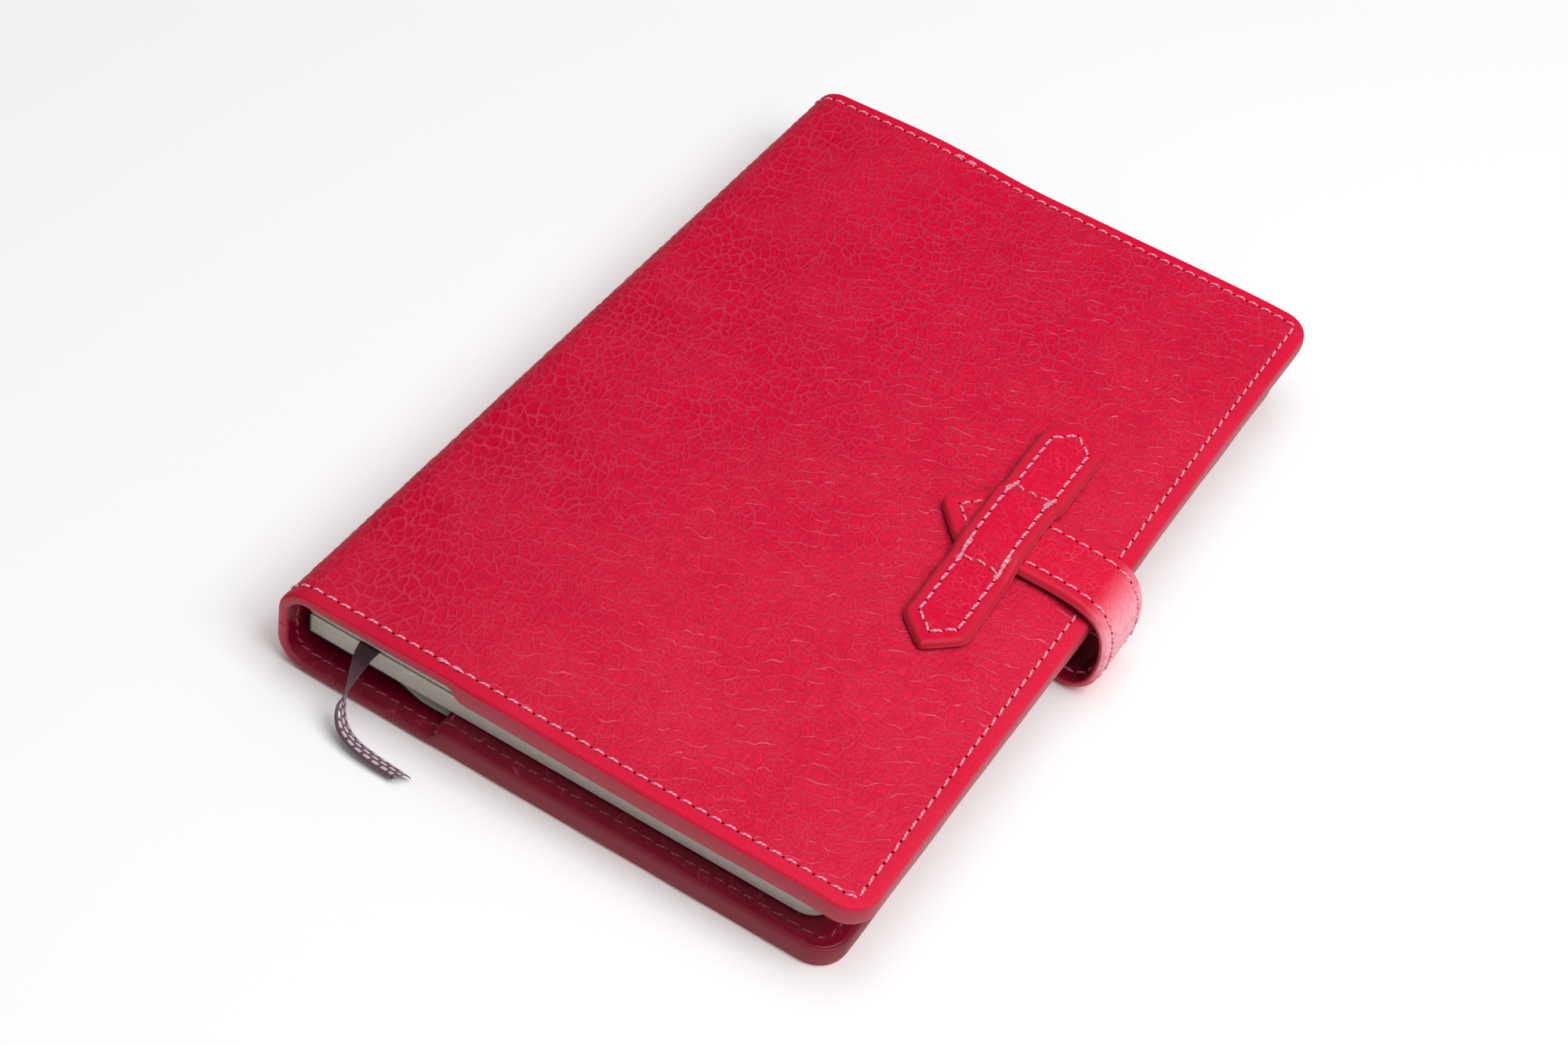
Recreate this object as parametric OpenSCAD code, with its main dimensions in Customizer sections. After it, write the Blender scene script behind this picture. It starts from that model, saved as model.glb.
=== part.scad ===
// Pocket notebook: a refillable leather cover with a strap and keeper, holding a sewn refill.
// Frame: +X from the spine to the fore edge, +Y from the tail to the head, +Z up.
// The origin is half-way between the spine and the front's fore edge, and half-way between
// tail and head, on the back cover's outer face, which lies on the table.

/* [Cover] */
// Spine to fore edge of the closed cover
cover_w = 93; // [92.5:0.5:96]
// Tail to head of the cover
cover_l = 148; // [146:1:156]
// Thickness of the closed notebook, strap and keeper left out
cover_h = 15; // [14.5:0.5:16]
// How far the back's fore edge stops short of the front's
back_inset = 2.4; // [0:0.2:2.6]
// Thickness of the outer leather
leather_t = 1.2; // [1.1:0.1:1.3]
// Thickness of the lining leather
lining_t = 0.6; // [0.5:0.1:0.7]
// Thickness of the sleeve leather
sleeve_t = 1; // [0.8:0.1:1]
// Reach of each sleeve in from the fore edge
sleeve_w = 64; // [55:1:64]
// Margin that is sewn down round a sleeve
seam_margin = 3.4; // [3:0.1:3.8]
// Radius of the cover's fore-edge corners
corner_r = 4.5; // [3:0.5:8]
// Outer radius of the two bends of the spine
spine_r = 5; // [4.5:0.1:5.5]

/* [Refill] */
// Width of a page
page_w = 83.5; // [78:0.5:83.5]
// Height of a page
page_l = 140; // [134:1:140]
// Radius of the page corners at the fore edge
page_r = 4; // [2:0.5:8]
// Folded sections in each half of the block
half_sections = 4; // [4:1:4]
// Thickness of the refill's card cover
card_t = 0.4; // [0.3:0.05:0.45]
// Thickness of an endpaper
endpaper_t = 0.15; // [0.1:0.05:0.2]
// Thickness of the cloth glued over the sections' folds
cloth_t = 0.15; // [0.1:0.05:0.2]

/* [Strap and keeper] */
// Width of the strap
strap_w = 12.5; // [11:0.5:14]
// Thickness of the strap's outer leather
strap_leather_t = 0.9; // [0.8:0.1:1]
// Thickness of the strap's lining
strap_lining_t = 0.6; // [0.4:0.1:0.6]
// Place of the strap's centre line along the cover
closure_y = -1.5; // [-10:0.5:10]
// Place of the strap's tip
strap_tip_x = 18.5; // [13:0.5:20]
// Length of the strap's root inside the back cover
strap_root_l = 12; // [8:1:20]
// Width of the keeper
keeper_w = 10; // [8:0.5:12]
// Length of the keeper, tip to tip
keeper_l = 55; // [50:1:62]
// Place of the keeper's centre line
keeper_x = 29; // [27.5:0.5:30.5]
// Lean of the keeper away from the fore edge
keeper_lean = 1.5; // [0:0.5:4]
// Distance between the keeper's two cross seams
tunnel_l = 18; // [17.5:0.5:20]
// Thickness of the keeper's leather
keeper_t = 1.4; // [1.2:0.1:1.6]

/* [Ribbon] */
// Width of the ribbon
ribbon_w = 4.5; // [4:0.5:6]
// Thickness of the ribbon
ribbon_t = 0.2; // [0.15:0.05:0.2]

/* [Hidden] */
$fn = 64;

// Colours
crimson = [0.80, 0.06, 0.22];
deep_crimson = [0.62, 0.05, 0.16];
paint_red = [0.52, 0.10, 0.16];
navy = [0.08, 0.09, 0.18];
cream = [0.93, 0.90, 0.84];
mauve = [0.36, 0.27, 0.36];

// Clearance between pieces that slide or part
gap = 0.25;
// Overlap that makes a cut pass clean through
over = 1;
// Room between the cover's spine and the refill's
spine_room = 0.65;
// Clearance between the refill's card cover and its endpapers
slip = 0.05;
// How far the card lies flat under the block before it dips towards its sleeve
dip_run = 15;
// How far before the sleeve's mouth the card has reached the pocket's height
dip_margin = 4;

// Cover
spine_x = -cover_w / 2;
fore_x = cover_w / 2;
back_fore_x = fore_x - back_inset;
flat_x = spine_x + spine_r;
shell_t = leather_t + lining_t;
pocket_h = card_t + 2 * gap;
sleeve_top = shell_t + pocket_h + sleeve_t;

// Refill
mid_z = cover_h / 2;
split = 2 * gap;
block_low_z = sleeve_top + gap;
section_t = (mid_z - split / 2 - block_low_z - endpaper_t) / half_sections;
card_x = spine_x + shell_t + spine_room;
block_x = card_x + card_t + cloth_t;
block_end_x = block_x + page_w;
card_low_z = block_low_z - slip - card_t;
pocket_card_z = shell_t + gap;

// Strap
strap_t = strap_leather_t + strap_lining_t;
strap_low_z = shell_t - strap_t;
strap_top_z = cover_h + gap;
bend_x = fore_x;
bend_r = 2.7;
// The root stops this far before the bend, so that the bend can turn
root_gap = 0.8;
root_end_x = bend_x - root_gap;
// Length of the tip's point as a share of the strap's width
tip_share = 0.42;
tip_l = strap_w * tip_share;

// Keeper
tunnel_h = strap_top_z + strap_t + gap - cover_h;
keeper_point = keeper_w / 2;
// The raised tunnel comes down to the ends' full thickness this far past its seams
brow_run = 0.6;

// Ribbon: its route from between the pages, over the back cover's edge and along the table
ribbon_route = [
    [-33.6, -57, 7.4], [-33.6, -60, 7.4], [-33.6, -63, 7.4], [-33.6, -66, 7.4],
    [-33.6, -69, 7.4], [-33.4, -71.5, 7.4], [-32.8, -74, 7.0], [-32.4, -76, 6.2],
    [-32.3, -77.3, 5.1], [-32.1, -78.3, 4.0], [-31.5, -79.3, 3.0], [-30.4, -80.2, 2.2],
    [-29.0, -80.8, 1.7], [-27.3, -81.2, 1.3], [-25.3, -81.4, 1.1], [-23.3, -81.5, 0.9],
    [-21.3, -81.5, 0.8], [-19.4, -81.6, 0.7]
];
// Route points between which the ribbon twists from flat across X to nearly flat across Y
turn_from = 4.5;
turn_to = 9;
// Rise of the twisted ribbon's near edge, as a share of its width direction
edge_lift = 0.2;
// Distance of the tucked ribbon's end from the folds and from the head
tuck = 0.6;
tuck_head = 1;

// Plan of a cover panel: square at x0, with round corners at x1
module panel_plan(x0, x1, length, r) {
    union() {
        translate([x0, -length / 2]) square([x1 - r - x0, length]);
        translate([x0, -length / 2 + r]) square([x1 - x0, length - 2 * r]);
        for (side = [-1, 1]) translate([x1 - r, side * (length / 2 - r)]) circle(r);
    }
}

// A flat panel between two heights
module panel(x0, x1, length, r, z0, z1) {
    translate([0, 0, z0]) linear_extrude(z1 - z0) panel_plan(x0, x1, length, r);
}

// A profile in X and Z drawn out along Y, centred
module along_y(length) {
    translate([0, length / 2, 0]) rotate([90, 0, 0]) linear_extrude(length) children();
}

// Turns a lower piece over to the same place under the top
module mirrored_up() {
    translate([0, 0, cover_h]) mirror([0, 0, 1]) children();
}

// Half-open ring section of the spine between an outer and an inner radius
module spine_profile(depth, thick) {
    r_out = spine_r - depth;
    r_in = r_out - thick;
    x_out = spine_x + depth;
    difference() {
        union() {
            translate([x_out, spine_r]) square([flat_x - x_out, cover_h - 2 * spine_r]);
            for (z = [spine_r, cover_h - spine_r]) translate([flat_x, z]) circle(r_out);
        }
        union() {
            translate([x_out + thick, spine_r]) square([flat_x - x_out, cover_h - 2 * spine_r]);
            for (z = [spine_r, cover_h - spine_r]) translate([flat_x, z]) circle(r_in);
        }
        translate([flat_x, -over]) square([spine_r + over, cover_h + 2 * over]);
    }
}

// Room for the strap's root, sewn in between the back's leather and lining
module root_block() {
    root_x = back_fore_x - strap_root_l;
    translate([root_x, closure_y - strap_w / 2, strap_low_z])
        cube([root_end_x - root_x, strap_w, strap_t]);
}

module back_leather() {
    color(crimson) difference() {
        panel(flat_x, back_fore_x, cover_l, corner_r, 0, leather_t);
        root_block();
    }
}

module back_lining() {
    color(deep_crimson) difference() {
        panel(flat_x, back_fore_x, cover_l, corner_r, leather_t, shell_t);
        root_block();
    }
}

// A sleeve is sewn down on three sides and open towards the spine; x1 is its fore edge
module sleeve(x1) {
    difference() {
        panel(x1 - sleeve_w, x1, cover_l, corner_r, shell_t, sleeve_top);
        translate([x1 - sleeve_w - over, -cover_l / 2 + seam_margin, shell_t - over])
            cube([sleeve_w + over - seam_margin, cover_l - 2 * seam_margin, pocket_h + over]);
    }
}

module back_sleeve() {
    color(deep_crimson) sleeve(back_fore_x);
}

module strap_root() {
    color(crimson) root_block();
}

module spine_leather() {
    color(crimson) along_y(cover_l) spine_profile(0, leather_t);
}

module spine_lining() {
    color(deep_crimson) along_y(cover_l) spine_profile(leather_t, lining_t);
}

module front_leather() {
    color(crimson) mirrored_up() panel(flat_x, fore_x, cover_l, corner_r, 0, leather_t);
}

module front_lining() {
    color(deep_crimson) mirrored_up()
        panel(flat_x, fore_x, cover_l, corner_r, leather_t, shell_t);
}

module front_sleeve() {
    color(deep_crimson) mirrored_up() sleeve(fore_x);
}

// Six-sided tab with a point at each end
module keeper_plan() {
    side = keeper_l / 2 - keeper_point;
    polygon([
        [-keeper_w / 2, -side], [0, -keeper_l / 2], [keeper_w / 2, -side],
        [keeper_w / 2, side], [0, keeper_l / 2], [-keeper_w / 2, side]
    ]);
}

// Side view of the keeper: flat ends and a raised tunnel for the strap
module keeper_side() {
    foot = tunnel_l / 2;
    brow = strap_w / 2 + gap;
    union() {
        for (side = [-1, 1])
            polygon([
                [side * keeper_l, 0], [side * foot, 0], [side * brow, tunnel_h],
                [side * brow, tunnel_h + keeper_t], [side * (foot + brow_run), keeper_t],
                [side * keeper_l, keeper_t]
            ]);
        translate([-brow, tunnel_h]) square([2 * brow, keeper_t]);
    }
}

module keeper() {
    color(crimson) translate([keeper_x, closure_y, cover_h]) rotate([0, 0, keeper_lean])
        intersection() {
            linear_extrude(tunnel_h + keeper_t) keeper_plan();
            rotate([90, 0, 90]) translate([0, 0, -keeper_w]) linear_extrude(2 * keeper_w)
                keeper_side();
        }
}

// Outline of the strap's bend round the fore edge, between two offsets from its inner face
module bend_profile(z_split_low, z_split_high) {
    z_in_low = strap_low_z + strap_t;
    z_in_high = strap_top_z;
    r_out = bend_r + strap_t;
    rise = z_in_high - z_in_low - 2 * bend_r;
    intersection() {
        difference() {
            union() {
                for (z = [z_in_low + bend_r, z_in_high - bend_r])
                    translate([bend_x, z]) circle(r_out);
                translate([bend_x, z_in_low + bend_r]) square([r_out, rise]);
            }
            union() {
                for (z = [z_in_low + bend_r, z_in_high - bend_r])
                    translate([bend_x, z]) circle(bend_r);
                translate([bend_x - over, z_in_low + bend_r]) square([bend_r + over, rise]);
            }
        }
        translate([bend_x, z_split_low]) square([r_out + over, z_split_high - z_split_low]);
    }
}

module strap_bend_lower() {
    color(crimson) translate([0, closure_y, 0]) along_y(strap_w) bend_profile(0, mid_z);
}

module strap_bend_upper() {
    color(crimson) translate([0, closure_y, 0]) along_y(strap_w)
        bend_profile(mid_z, cover_h + 2 * strap_t);
}

// Plan of the tongue: straight to the point of its tip
module tongue_plan() {
    polygon([
        [bend_x, -strap_w / 2], [bend_x, strap_w / 2],
        [strap_tip_x + tip_l, strap_w / 2], [strap_tip_x, 0],
        [strap_tip_x + tip_l, -strap_w / 2]
    ]);
}

module strap_tongue_leather() {
    color(crimson) translate([0, closure_y, strap_top_z + strap_lining_t])
        linear_extrude(strap_leather_t) tongue_plan();
}

module strap_tongue_lining() {
    color(deep_crimson) translate([0, closure_y, strap_top_z])
        linear_extrude(strap_lining_t) tongue_plan();
}

// One half of the refill's card cover: it dips from under the block into the sleeve at mouth_x
module card_panel(mouth_x) {
    dip_x = card_x + dip_run;
    low_x = mouth_x - dip_margin;
    intersection() {
        along_y(page_l) polygon([
            [card_x, card_low_z], [dip_x, card_low_z],
            [low_x, pocket_card_z], [block_end_x, pocket_card_z],
            [block_end_x, pocket_card_z + card_t], [low_x, pocket_card_z + card_t],
            [dip_x, card_low_z + card_t], [card_x, card_low_z + card_t]
        ]);
        panel(card_x, block_end_x, page_l, page_r, 0, mid_z);
    }
}

// One half of the card or cloth that covers the sections' folds
module spine_strip(x, thick, z_low) {
    translate([x, -page_l / 2, z_low]) cube([thick, page_l, mid_z - gap - z_low]);
}

// One folded section, round at its fold and at the page corners
module signature(index) {
    z_low = block_low_z + endpaper_t + index * section_t;
    fold_r = section_t / 2;
    intersection() {
        panel(block_x, block_end_x, page_l, page_r, z_low, z_low + section_t);
        along_y(page_l) union() {
            translate([block_x + fold_r, z_low + fold_r]) circle(fold_r);
            translate([block_x + fold_r, z_low]) square([page_w, section_t]);
        }
    }
}

module endpaper() {
    panel(block_x, block_end_x, page_l, page_r, block_low_z, block_low_z + endpaper_t);
}

module refill_back_cover() {
    color(navy) card_panel(back_fore_x - sleeve_w);
}

module refill_front_cover() {
    color(navy) mirrored_up() card_panel(fore_x - sleeve_w);
}

module refill_spine_lower() {
    color(navy) spine_strip(card_x, card_t, card_low_z + card_t);
}

module refill_spine_upper() {
    color(navy) mirrored_up() spine_strip(card_x, card_t, card_low_z + card_t);
}

module spine_cloth_lower() {
    color(cream) spine_strip(card_x + card_t, cloth_t, block_low_z);
}

module spine_cloth_upper() {
    color(cream) mirrored_up() spine_strip(card_x + card_t, cloth_t, block_low_z);
}

module back_endpaper() {
    color(cream) endpaper();
}

module front_endpaper() {
    color(cream) mirrored_up() endpaper();
}

// Unit vector
function unit(v) = v / norm(v);

// Direction of a route at point i
function heading(route, i) =
    unit(route[min(i + 1, len(route) - 1)] - route[max(i - 1, 0)]);

// Direction of the ribbon's width at point i, square to its heading
function across(route, i) =
    let (
        share = min(1, max(0, (i - turn_from) / (turn_to - turn_from))),
        wanted = [cos(90 * share), -sin(90 * share), edge_lift * share],
        ahead = heading(route, i)
    )
    unit(wanted - (wanted * ahead) * ahead);

// Ring of 8 points round point i: a flat section with a thin edge
function ring(route, i) =
    let (
        side = across(route, i) * ribbon_w / 2,
        up = unit(cross(side, heading(route, i))) * ribbon_t / 2
    )
    [
        for (corner = [[1, 0.3], [0.9, 1], [0, 1], [-0.9, 1], [-1, 0.3], [-0.9, -1], [0, -1], [0.9, -1]])
            route[i] + corner[0] * side + corner[1] * up
    ];

// The free end of the ribbon, swept along its route
module ribbon() {
    sides = 8;
    rings = len(ribbon_route);
    points = [for (i = [0 : rings - 1]) each ring(ribbon_route, i)];
    walls = [
        for (i = [0 : rings - 2]) for (k = [0 : sides - 1])
            let (a = i * sides + k, b = i * sides + (k + 1) % sides)
            each [[a, b, b + sides], [a, b + sides, a + sides]]
    ];
    first_cap = [for (k = [sides - 1 : -1 : 0]) k];
    last_cap = [for (k = [0 : sides - 1]) (rings - 1) * sides + k];
    color(mauve) polyhedron(points, concat(walls, [first_cap], [last_cap]), convexity = 6);
}

// The ribbon's hidden stretch, from the head of the folds to the tail of the pages
module ribbon_tucked() {
    start = ribbon_route[0];
    head_x = block_x + ribbon_w / 2 + tuck;
    head_y = page_l / 2 - tuck_head;
    color(mauve) translate([0, 0, start[2] - ribbon_t / 2]) linear_extrude(ribbon_t)
        polygon([
            [start[0] - ribbon_w / 2, start[1]], [start[0] + ribbon_w / 2, start[1]],
            [head_x + ribbon_w / 2, head_y], [head_x - ribbon_w / 2, head_y]
        ]);
}

back_leather();
back_lining();
back_sleeve();
strap_root();
spine_leather();
spine_lining();
front_leather();
front_lining();
front_sleeve();
keeper();
strap_bend_lower();
strap_bend_upper();
strap_tongue_leather();
strap_tongue_lining();
refill_back_cover();
refill_spine_lower();
spine_cloth_lower();
back_endpaper();
refill_front_cover();
refill_spine_upper();
spine_cloth_upper();
front_endpaper();
for (i = [1 : half_sections]) {
    color(cream) signature(i - 1);
    color(cream) mirrored_up() signature(half_sections - i);
}
ribbon();
ribbon_tucked();
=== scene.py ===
"""Pocket notebook: crimson leather cover with strap and keeper, and the sewn refill that it holds.

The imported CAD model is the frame. Lengths are in metres; MM turns millimetres into metres.
A cover panel is described unrolled: s is the distance round its outer face from the middle of the
spine, y runs from tail to head, and depth goes inward from the outer face.
"""
import math

import bpy
import numpy as np
from mathutils import Matrix, Vector


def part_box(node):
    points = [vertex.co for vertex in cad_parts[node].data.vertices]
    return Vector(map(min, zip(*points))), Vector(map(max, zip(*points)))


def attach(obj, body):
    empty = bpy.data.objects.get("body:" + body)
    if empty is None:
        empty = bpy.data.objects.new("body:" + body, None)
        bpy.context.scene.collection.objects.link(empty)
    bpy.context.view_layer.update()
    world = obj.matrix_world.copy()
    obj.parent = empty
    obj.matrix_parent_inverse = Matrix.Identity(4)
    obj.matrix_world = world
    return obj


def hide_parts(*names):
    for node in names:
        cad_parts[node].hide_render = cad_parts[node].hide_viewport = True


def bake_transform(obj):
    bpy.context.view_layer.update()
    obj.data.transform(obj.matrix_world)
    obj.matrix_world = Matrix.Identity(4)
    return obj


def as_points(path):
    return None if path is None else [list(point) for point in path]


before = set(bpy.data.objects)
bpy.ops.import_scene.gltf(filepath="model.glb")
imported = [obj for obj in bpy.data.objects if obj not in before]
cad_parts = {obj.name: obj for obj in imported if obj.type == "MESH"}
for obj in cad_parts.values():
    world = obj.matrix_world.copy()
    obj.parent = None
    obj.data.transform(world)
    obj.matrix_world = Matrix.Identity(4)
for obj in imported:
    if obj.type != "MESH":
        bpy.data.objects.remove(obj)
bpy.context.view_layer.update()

MM = 0.001
UPPER, LOWER = 1, -1
OUTER, INNER = 1, -1

# The cover, from the frame. The back's fore edge stops short of the front's.
BACK_LOW, BACK_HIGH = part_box("back_leather")
SPINE_LOW, SPINE_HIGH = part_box("spine_leather")
FLAT_X = BACK_LOW.x
HALF_L = BACK_HIGH.y
SPINE_X = SPINE_LOW.x
TOP_Z = SPINE_HIGH.z
MID_Z = TOP_Z / 2
SPINE_R = FLAT_X - SPINE_X
FORE_X = {UPPER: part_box("front_leather")[1].x, LOWER: BACK_HIGH.x}
MOUTH_X = {UPPER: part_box("front_sleeve")[0].x, LOWER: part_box("back_sleeve")[0].x}
LEATHER_T = BACK_HIGH.z
SHELL_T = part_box("back_lining")[1].z
COVER_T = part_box("back_sleeve")[1].z
CORNER_R = 4.5 * MM
GRAIN_DEPTH = 0.12 * MM
SEAM_MARGIN = 3.4 * MM
POCKET_DEPTH = COVER_T - 1.0 * MM

# How far the outermost lines of a panel's grid lie from its outline, and the others' steps
EDGE_STEPS = np.array([0, 0.08, 0.22, 0.42, 0.7, 1.05, 1.4, 1.75, 2.05, 2.3, 2.55, 2.9, 3.3]) * MM
LEATHER_STEP = {UPPER: 0.42 * MM, LOWER: 0.6 * MM}
LINING_STEP = 0.9 * MM

# Distances round the outer face, from the middle of the spine
UPRIGHT_S = MID_Z - SPINE_R
FLAT_S = UPRIGHT_S + SPINE_R * math.pi / 2
FORE_S = {side: FLAT_S + x - FLAT_X for side, x in FORE_X.items()}
MOUTH_S = {side: FLAT_S + x - FLAT_X for side, x in MOUTH_X.items()}

# Seams. The stitches under the back are low, because it lies on the table.
STITCH_PITCH = 2.3 * MM
STITCH_INSET = 2.3 * MM
THREAD_R = 0.20 * MM
HOLE_R = 0.20 * MM
STITCH_H = {UPPER: 0.30 * MM, LOWER: 0.06 * MM}
BACKTACK_H = {UPPER: 0.45 * MM, LOWER: 0.06 * MM}

# The strap and the keeper. A POINT is how fast the half width grows from the tip.
STRAP_LOW, STRAP_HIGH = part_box("strap_tongue_leather")
STRAP_T = STRAP_HIGH.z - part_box("strap_tongue_lining")[0].z
STRAP_HALF_W = (STRAP_HIGH.y - STRAP_LOW.y) / 2
STRAP_POINT = 1.12
CLOSURE_Y = (STRAP_HIGH.y + STRAP_LOW.y) / 2
KEEPER_LOW, KEEPER_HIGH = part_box("keeper")
KEEPER_X = (KEEPER_LOW.x + KEEPER_HIGH.x) / 2
KEEPER_LEAN = math.radians(1.5)
KEEPER_L = 55 * MM
KEEPER_HALF_W = 5 * MM
KEEPER_T = 1.4 * MM
KEEPER_POINT = 1.05

# The refill
PAGE_CORNER_R = 4 * MM
LEAVES = 6
CARD_T = 0.4 * MM
CARD_Z = {LOWER: 3.5 * MM, UPPER: TOP_Z - 3.5 * MM}
# How far the card lies flat, and where before the sleeve's mouth its dip towards it ends
DIP_RUN = 15 * MM
DIP_MARGIN = 4 * MM

# The ribbon's route, from between the pages over the back cover's edge to the table
RIBBON_W = 4.5 * MM
RIBBON_T = 0.2 * MM
RIBBON_ROUTE = [
    (-33.6, -57, 7.4), (-33.6, -60, 7.4), (-33.6, -63, 7.4), (-33.6, -66, 7.4),
    (-33.6, -69, 7.4), (-33.4, -71.5, 7.4), (-32.8, -74, 7.0), (-32.4, -76, 6.2),
    (-32.3, -77.3, 5.1), (-32.1, -78.3, 4.0), (-31.5, -79.3, 3.0), (-30.4, -80.2, 2.2),
    (-29.0, -80.8, 1.7), (-27.3, -81.2, 1.3), (-25.3, -81.4, 1.1), (-23.3, -81.5, 0.9),
    (-21.3, -81.5, 0.8), (-19.4, -81.6, 0.7),
]
# Route points between which it twists, and the rise of its near edge after that
TURN_FROM, TURN_TO, EDGE_LIFT = 4.5, 9, 0.2

# Colours: the dyed leather's own, painted shade in its hollows, a painted pale sheen,
# creases gone paler with wear, painted shade on rims and a painted sheen on the strap's bend
CRIMSON = (0.74, 0.0006, 0.038)
VALLEY_SHADE = (0.4884, 0.0036, 0.0361)
PALE_SHEEN = (0.7104, 0.0246, 0.064)
CREASE = (0.90, 0.22, 0.29)
RIM_SHADE = (0.46, 0.024, 0.044)
BEND_SHEEN = (0.92, 0.42, 0.50)
PAINT_DEEP, PAINT_PALE = (0.36, 0.022, 0.044), (0.46, 0.036, 0.062)

# The grain: degrees that its rows are turned by, and millimetres between two long creases
PEBBLE_TURN, CREASE_TURN, CREASE_PITCH = -105.0, -27.0, 2.2


# ---------------- small helpers

def smooth(value, low, high):
    """0 below low, 1 above high, and a smooth step between."""
    t = np.clip((value - low) / (high - low), 0, 1)
    return t * t * (3 - 2 * t)


def bell(value, centre, width):
    """1 at the centre, falling off smoothly on both sides."""
    return np.exp(-((value - centre) / width) ** 2)


def new_mesh(name, points, faces, materials, face_material=None, smooth_shaded=True, **attributes):
    """An object with values at its points: flat and margin, in millimetres, and outward."""
    mesh = bpy.data.meshes.new(name)
    mesh.from_pydata([tuple(p) for p in points], [], faces)
    for material in materials:
        mesh.materials.append(material)
    mesh.polygons.foreach_set("use_smooth", [smooth_shaded] * len(mesh.polygons))
    if face_material is not None:
        mesh.polygons.foreach_set("material_index", face_material)
    for key, values in attributes.items():
        values = np.asarray(values) / (1 if key == "outward" else MM)
        kind, field = ("FLOAT", "value") if values.ndim == 1 else ("FLOAT_VECTOR", "vector")
        layer = mesh.attributes.new(key, kind, "POINT")
        layer.data.foreach_set(field, values.astype(np.float32).ravel())
    mesh.update()
    piece = bpy.data.objects.new(name, mesh)
    bpy.context.scene.collection.objects.link(piece)
    return piece


def declare(piece, slot, *nodes, body=None):
    """Says which CAD nodes a piece replaces and the one body that it rides on; its finish, slot, is
    not used.
    """
    if nodes:
        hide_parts(*nodes)
    if body:
        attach(piece, body)


def grid_quads(rows, columns, start=0, flip=False, closed=False):
    """Quads between rows and columns of points; closed joins the last column to the first."""
    quads = []
    last = columns if closed else columns - 1
    for i in range(rows - 1):
        for j in range(last):
            k = (j + 1) % columns
            a, b = start + i * columns + j, start + i * columns + k
            quad = (a, b, b + columns, a + columns)
            quads.append(quad[::-1] if flip else quad)
    return quads


def tube_faces(rows, columns, start=0, flip=False):
    """The faces of a closed tube of rings, with a cap on both ends."""
    end = start + rows * columns
    caps = [tuple(range(start + columns - 1, start - 1, -1)), tuple(range(end - columns, end))]
    if flip:
        caps = [cap[::-1] for cap in caps]
    return grid_quads(rows, columns, start, flip, closed=True) + caps


class Curve:
    """A polyline that gives places and directions by distance along it."""

    def __init__(self, points):
        self.points = np.asarray(points, float)
        steps = np.linalg.norm(np.diff(self.points, axis=0), axis=1)
        self.at = np.concatenate([[0], np.cumsum(steps)])
        self.length = self.at[-1]

    def place(self, t):
        return np.stack([np.interp(t, self.at, column) for column in self.points.T], -1)

    def heading(self, t, reach):
        ahead = self.place(np.minimum(t + reach, self.length))
        behind = self.place(np.maximum(t - reach, 0))
        way = ahead - behind
        return way / np.linalg.norm(way, axis=-1, keepdims=True)


def rounded(points, steps):
    """Catmull-Rom curve through points, with steps pieces between each pair."""
    p = np.asarray(points, float)
    p = np.vstack([2 * p[0] - p[1], p, 2 * p[-1] - p[-2]])
    made = []
    for i in range(1, len(p) - 2):
        for t in np.arange(steps) / steps:
            a = 2 * p[i]
            b = p[i + 1] - p[i - 1]
            c = 2 * p[i - 1] - 5 * p[i] + 4 * p[i + 1] - p[i + 2]
            d = 3 * p[i] - p[i - 1] - 3 * p[i + 1] + p[i + 2]
            made.append((a + b * t + c * t * t + d * t ** 3) / 2)
    made.append(p[-2])
    return np.array(made)


# ---------------- camera

def make_camera():
    """Camera at the viewing angle of the reference: orbit angles and a small roll."""
    azimuth, elevation, roll = (math.radians(angle) for angle in (22.35, 44.79, 12.03))
    place = Vector((115.0, -294.3, 309.8)) * MM
    right = Vector((math.cos(azimuth), math.sin(azimuth), 0))
    level = math.cos(elevation)
    back = Vector((math.sin(azimuth) * level, -math.cos(azimuth) * level, math.sin(elevation)))
    up = back.cross(right)
    side = math.cos(roll) * right + math.sin(roll) * up
    top = -math.sin(roll) * right + math.cos(roll) * up
    camera = bpy.data.objects.new("camera", bpy.data.cameras.new("camera"))
    turn = Matrix((side, top, back)).transposed().to_4x4()
    camera.matrix_world = Matrix.Translation(place) @ turn
    camera.data.sensor_width = 36
    camera.data.lens = 66.8
    camera.data.clip_start = 0.01
    camera.data.clip_end = 20
    bpy.context.scene.collection.objects.link(camera)
    bpy.context.scene.camera = camera


make_camera()


# ---------------- node building

class Value:
    """What a node gives, with the usual arithmetic."""

    def __init__(self, nodes, socket):
        self.nodes, self.socket = nodes, socket

    def __add__(self, other):
        return self.nodes.math("ADD", self, other)

    def __sub__(self, other):
        return self.nodes.math("SUBTRACT", self, other)

    def __rsub__(self, other):
        return self.nodes.math("SUBTRACT", other, self)

    def __mul__(self, other):
        return self.nodes.math("MULTIPLY", self, other)


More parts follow.
